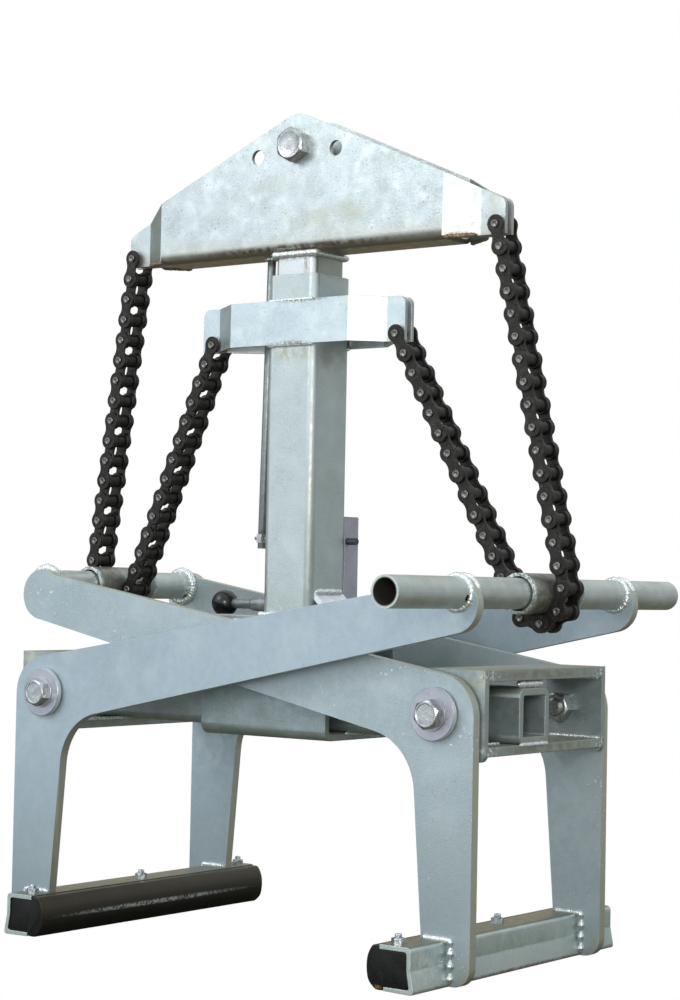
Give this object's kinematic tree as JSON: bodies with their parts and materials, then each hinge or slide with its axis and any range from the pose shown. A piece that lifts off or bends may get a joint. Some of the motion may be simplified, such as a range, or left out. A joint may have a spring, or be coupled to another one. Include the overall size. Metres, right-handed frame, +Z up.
{
  "type": "precast concrete lifting tongs",
  "caption": "Lifting tongs with crossed lever pairs, a chain-driven sliding head on a square mast, and rubber-faced channel jaws for concrete blocks.",
  "frame": {"origin": "ground level at the centre of the bounding box, midway between the two lever pivots", "axes": "+X to the right in the picture along the beam frame, +Y to the back along the lever pivots and jaws, +Z up along the mast"},
  "size_m": [0.7084, 0.577, 0.9605],
  "materials": {
    "lever_plate": "hot-dip galvanised, matte pale blue-grey, with brownish laser-cut edges",
    "beam_plate": "hot-dip galvanised, matte, with bright weld beads",
    "mast_tube": "hot-dip galvanised square tube, pale blue-grey, brighter along the rounded corners",
    "latch_plate": "galvanised folded sheet with a lilac tint",
    "cross_arm_plate": "hot-dip galvanised sheet, bright where it is cranked",
    "head_plate": "hot-dip galvanised sheet, speckled and brighter than the levers, brown stain along the fold",
    "slide_steel": "bright steel with orange-brown heat lines at the top",
    "tube_zinc": "bright speckled hot-dip zinc",
    "sleeve_steel": "worn grey-brown zinc with bright end rings",
    "jaw_steel": "hot-dip galvanised folded sheet",
    "bolt_zinc": "zinc-plated, satin",
    "washer_zinc": "zinc-plated, satin, lilac-grey",
    "lifting_steel": "zinc-plated, satin",
    "rod_steel": "plain grey steel rod, darker at its lower end",
    "dark_steel": "dark blue-grey oiled steel",
    "chain_steel": "oiled roller chain, very dark charcoal-brown, light grey pin heads",
    "pad_rubber": "black moulded rubber, slight sheen",
    "knob_plastic": "glossy black"
  },
  "bodies": {
    "frame": {"core_tube": "beam_plate", "left_ring_plates": "beam_plate", "right_ring_plates": "beam_plate", "left_cheeks": "beam_plate", "right_cheeks": "beam_plate", "saddle": "beam_plate", "saddle_cover": "beam_plate", "foot_brace": "latch_plate", "guide_tube": "mast_tube", "slide_stop": "beam_plate", "cross_arm_plates": "cross_arm_plate", "pivot_bolts": "bolt_zinc", "pivot_washers": "washer_zinc", "pivot_nuts": "bolt_zinc", "plunger_bush": "dark_steel", "latch_housing": "latch_plate", "latch_bolt": "dark_steel", "latch_nut": "dark_steel", "left_chain_inner": "chain_steel", "right_chain_inner": "chain_steel"},
    "head": {"head_front_plate": "head_plate", "head_back_plate": "head_plate", "head_fold": "head_plate", "slide_tube": "slide_steel", "lifting_bolt": "lifting_steel", "lifting_nut": "lifting_steel", "control_rod": "rod_steel", "rod_cross_bolt": "dark_steel", "left_chain_outer": "chain_steel", "right_chain_outer": "chain_steel"},
    "left_lever": {"left_lever_front": "lever_plate", "left_lever_back": "lever_plate", "left_lever_tube": "tube_zinc", "left_jaw_channel": "jaw_steel", "left_jaw_pad": "pad_rubber", "left_pad_studs": "bolt_zinc", "left_pad_nuts": "bolt_zinc", "right_chain_wrap": "chain_steel"},
    "right_lever": {"right_lever_front": "lever_plate", "right_lever_back": "lever_plate", "right_lever_tube": "tube_zinc", "right_jaw_channel": "jaw_steel", "right_jaw_pad": "pad_rubber", "right_pad_studs": "bolt_zinc", "right_pad_nuts": "bolt_zinc", "left_chain_wrap": "chain_steel"},
    "right_sleeve": {"right_sleeve": "sleeve_steel"},
    "left_sleeve": {"left_sleeve": "sleeve_steel"},
    "right_chain_end": {"right_chain_end": "chain_steel"},
    "left_chain_end": {"left_chain_end": "chain_steel"},
    "lock_pin": {"lock_pin": "dark_steel", "ball_knob": "knob_plastic"},
    "latch_pawl": {"latch_pawl": "dark_steel"}
  },
  "joints": [
    {"name": "head_slide", "type": "slide", "parent": "frame", "child": "head", "axis": [0, 0, 1], "range_m": [0, 0.1], "deforming": ["left_chain_outer", "left_chain_end", "left_chain_wrap", "left_chain_inner", "right_chain_outer", "right_chain_end", "right_chain_wrap", "right_chain_inner"]},
    {"name": "left_lever_pivot", "type": "hinge", "parent": "frame", "child": "left_lever", "pos_m": [-0.268, 0.009, 0.2815], "axis": [0, -1, 0], "range_deg": [0, 5]},
    {"name": "right_lever_pivot", "type": "hinge", "parent": "frame", "child": "right_lever", "pos_m": [0.268, 0.009, 0.2815], "axis": [0, 1, 0], "range_deg": [0, 5]},
    {"name": "right_sleeve_turn", "type": "hinge", "parent": "left_lever", "child": "right_sleeve", "pos_m": [0.3118, 0.009, 0.409], "axis": [0, -1, 0], "range_deg": [0, 90]},
    {"name": "left_sleeve_turn", "type": "hinge", "parent": "right_lever", "child": "left_sleeve", "pos_m": [-0.3118, 0.009, 0.409], "axis": [0, 1, 0], "range_deg": [0, 90]},
    {"name": "right_chain_feed", "type": "slide", "parent": "head", "child": "right_chain_end", "axis": [-0.2637, 0, -0.9646], "range_m": [0, 0.052]},
    {"name": "left_chain_feed", "type": "slide", "parent": "head", "child": "left_chain_end", "axis": [0.2637, 0, -0.9646], "range_m": [0, 0.052]},
    {"name": "lock_pin_slide", "type": "slide", "parent": "frame", "child": "lock_pin", "axis": [1, 0, 0], "range_m": [0, 0.014]},
    {"name": "latch_pawl_swing", "type": "hinge", "parent": "frame", "child": "latch_pawl", "pos_m": [0, 0.0295, 0.4655], "axis": [-1, 0, 0], "range_deg": [0, 60]}
  ],
  "couplings": [
    {"joint": "left_lever_pivot", "follows": "head_slide", "rad_per_m": 0.841},
    {"joint": "right_lever_pivot", "follows": "head_slide", "rad_per_m": 0.841},
    {"joint": "right_sleeve_turn", "follows": "head_slide", "rad_per_m": 15},
    {"joint": "left_sleeve_turn", "follows": "head_slide", "rad_per_m": 15},
    {"joint": "right_chain_feed", "follows": "head_slide", "ratio": 0.508},
    {"joint": "left_chain_feed", "follows": "head_slide", "ratio": 0.508}
  ]
}
